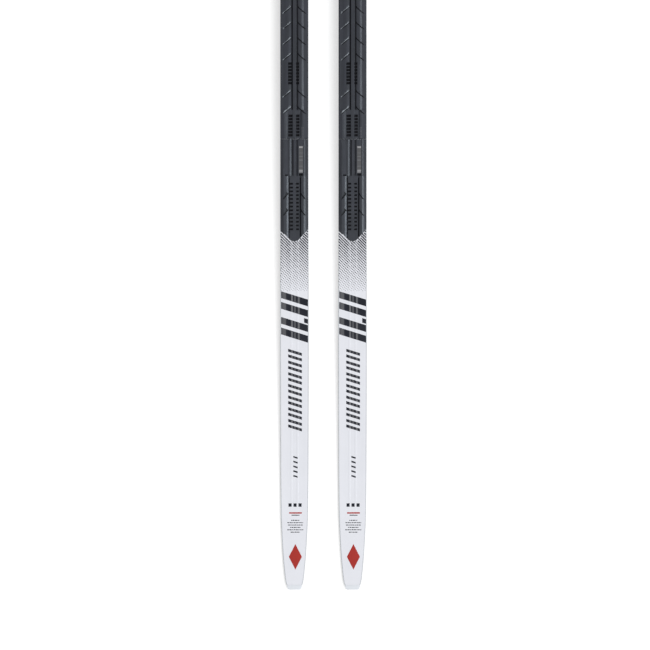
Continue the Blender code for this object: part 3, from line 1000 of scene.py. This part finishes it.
# By slot: name, colour, colour of the mottling, roughness, scale of the grain, its depth in mm, anything else
FINISHES = {
    "topsheet": ("topsheet_lacquer", (0.765, 0.777, 0.827), (0.73, 0.743, 0.792), 0.32, *SHEET_GRAIN,
                 LACQUER),
    "sheet_edge": ("sheet_edge", (0.55, 0.57, 0.60), (0.49, 0.51, 0.54), 0.5, 900, 0.02, {}),
    "ink_red": ("print_red", (0.405, 0.036, 0.027), (0.35, 0.028, 0.022), 0.32, *SHEET_GRAIN, LACQUER),
    "ink_grey": ("print_grey", (0.17, 0.175, 0.19), (0.13, 0.135, 0.15), 0.35, *SHEET_GRAIN, LACQUER),
    # Painted highlight: a paler plate colour for the lit tip-side walls of the left grooves on the front plate
    "painted_highlight_plate": ("plate_painted_highlight", (0.062, 0.066, 0.074), (0.048, 0.052, 0.060), 0.38, 1400, 0.03, {}),
    # Painted shade: near-black, for the floors and walls of pockets, slots, channels and grooves
    "pocket": ("pocket_painted_shade", (0.006, 0.006, 0.008), (0.010, 0.010, 0.012), 0.6, 1400, 0.03,
               {"specular": 0.2}),
    "label": ("label_film", (0.30, 0.30, 0.31), (0.26, 0.26, 0.27), 0.38, 900, 0.01, {}),
    "label_ground": ("label_ground", (0.085, 0.086, 0.09), (0.07, 0.07, 0.075), 0.38, 900, 0.01, {}),
    "running_base": ("sintered_base", (0.012, 0.012, 0.014), (0.02, 0.02, 0.022), 0.34, 2600, 0.02,
                     {"stretch": (1, 0.02, 1)}),
    "sidewall": ("sidewall_abs", (0.60, 0.63, 0.68), (0.54, 0.57, 0.62), 0.36, 1500, 0.02,
                 {"stretch": (1, 0.05, 1)}),
    "end_plastic": ("end_nylon", (0.74, 0.77, 0.815), (0.70, 0.73, 0.775), 0.40, 1300, 0.02, {}),
    "carbon_laminate": ("carbon_laminate", (0.022, 0.022, 0.025), (0.045, 0.045, 0.05), 0.34, 2200, 0.02,
                        {"stretch": (1, 0.04, 1)}),
    "adhesive": ("plate_adhesive", (0.03, 0.03, 0.032), (0.05, 0.05, 0.052), 0.7, 700, 0.08, {}),
    "foam_core": ("foam_core", (0.62, 0.55, 0.40), (0.50, 0.44, 0.31), 0.85, 600, 0.2, {}),
    "dense_core": ("dense_core", (0.46, 0.33, 0.19), (0.34, 0.23, 0.12), 0.75, 500, 0.15,
                   {"stretch": (1, 0.05, 1)}),
}
SHEEN_FROM = 245  # nearer the tail the black print has no painted reflection
SHEEN_FADE = 10
# Pale lines of painted reflection on the black print, where the glossy sheet's ribs and dish would catch the
# light: (x, half-width, softness, weight)
RIB_SHEEN = ((-16.6, 2.4, 1.6, 0.30), (-3.9, 0.7, 1.0, 0.55), (1.0, 0.8, 1.2, 0.28), (7.0, 0.9, 1.0, 0.40))
SHEEN_GREY = (0.30, 0.30, 0.31)


def sheened_black():
    """Black print, with pale lines of painted reflection along the ski, where the sheet's ribs would catch the
    light.
    """
    black = plain_finish("print_black", (0.013, 0.015, 0.022), (0.020, 0.022, 0.031), 0.30, *SHEET_GRAIN,
                         **LACQUER)
    patchy = black.ramp(black.noise(60, (1, 0.15, 1)), 0.3, 0.6, 0.7, 1.0)
    along = black.node("ShaderNodeSeparateXYZ", Vector=black.place).outputs["Y"]
    first = OUTLINE["tail"] + SHEEN_FROM
    reach = black.ramp(along, first * MM, (first + SHEEN_FADE) * MM)
    sheen_lines = black.math("MULTIPLY", black.streaks(RIB_SHEEN), patchy)
    black.tint(black.math("MULTIPLY", sheen_lines, reach), SHEEN_GREY)
    return black.done()


def drawn_nylon():
    """Black plate nylon with faint streaks along the ski."""
    plate = plain_finish("plate_nylon", (0.032, 0.035, 0.043), (0.026, 0.029, 0.036), 0.40, 1400, 0.03)
    plate.tint(plate.ramp(plate.noise(260, (1, 0.05, 1)), 0.42, 0.68), (0.038, 0.041, 0.053))
    return plate.done()


def make_materials():
    paint = {slot: plain_finish(*values, **more).done() for slot, (*values, more) in FINISHES.items()}
    paint["ink_black"] = sheened_black()
    paint["binding_plate"] = drawn_nylon()
    return paint


def finish_hidden_nodes(paint):
    """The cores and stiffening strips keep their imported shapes."""
    kept = {
        "core_rear": "foam_core",
        "core_middle": "dense_core",
        "core_front": "foam_core",
        "carbon_strip_left": "carbon_laminate",
        "carbon_strip_right": "carbon_laminate",
    }
    for ski in SKIS:
        for node, slot in kept.items():
            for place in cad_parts[f"{ski}_{node}"].material_slots:
                place.material = paint[slot]


# ---------------------------------------------------------------- studio

CAMERA_HEIGHT = 10.0
CAMERA_AT = (0.0025, -0.536)
FIELD = 1.04  # metres across the picture at the height of the skis
SENSOR = 36.0
SKI_HEIGHT = 0.025  # of the surfaces that the field is measured at
FLOOR_REACH = 80.0
FLOOR_GLOW = 0.62


def add_camera():
    data = bpy.data.cameras.new("camera")
    data.sensor_width = SENSOR
    data.lens = SENSOR * (CAMERA_HEIGHT - SKI_HEIGHT) / FIELD
    data.clip_end = 400
    camera = bpy.data.objects.new("camera", data)
    camera.location = (*CAMERA_AT, CAMERA_HEIGHT)
    bpy.context.scene.collection.objects.link(camera)
    bpy.context.scene.camera = camera


def add_light(name, kind, location, aim, **values):
    data = bpy.data.lights.new(name, kind)
    for key, value in values.items():
        setattr(data, key, value)
    light = bpy.data.objects.new(name, data)
    light.location = location
    direction = Vector(aim) - light.location
    light.rotation_euler = direction.to_track_quat("-Z", "Y").to_euler()
    bpy.context.scene.collection.objects.link(light)
    return light


def add_studio():
    scene = bpy.context.scene
    scene.view_settings.view_transform = "Standard"
    world = bpy.data.worlds.new("studio")
    world.use_nodes = True
    background = world.node_tree.nodes["Background"]
    background.inputs["Color"].default_value = (1, 1, 1, 1)
    background.inputs["Strength"].default_value = 0.28
    scene.world = world
    key = add_light("key", "SUN", (1.0, -0.3, 4.0), (0, 0, 0), energy=2.5, angle=math.radians(24))
    key.visible_glossy = False
    card = add_light("side_card", "AREA", (2.6, -1.9, 1.9), (0, -0.4, 0), energy=215, shape="RECTANGLE",
                     size=3.2, size_y=1.7, color=(0.83, 0.92, 1.0))
    card.visible_diffuse = False
    add_floor()


def add_floor():
    """A pale floor that glows a little, so that it stays just above white without washing out the edges."""
    mesh = bpy.data.meshes.new("floor")
    corners = [(x * FLOOR_REACH, y * FLOOR_REACH, 0) for x, y in ((-1, -1), (1, -1), (1, 1), (-1, 1))]
    mesh.from_pydata(corners, [], [(0, 1, 2, 3)])
    floor = bpy.data.objects.new("floor", mesh)
    bpy.context.scene.collection.objects.link(floor)
    made = Finish("studio_floor", (0.45, 0.45, 0.45), 0.9, specular=0.0)
    made.tint(made.ramp(made.noise(0.7), 0.3, 0.7), (0.46, 0.46, 0.46))
    made.shader.inputs["Emission Color"].default_value = (1, 1, 1, 1)
    made.shader.inputs["Emission Strength"].default_value = FLOOR_GLOW
    mesh.materials.append(made.done())
    floor.visible_glossy = False


def main():
    paint = make_materials()
    add_camera()
    add_body(paint)
    add_adhesive(paint)
    add_plates(paint)
    add_label(paint)
    add_scale(paint)
    add_print(paint)
    finish_hidden_nodes(paint)
    add_studio()


main()
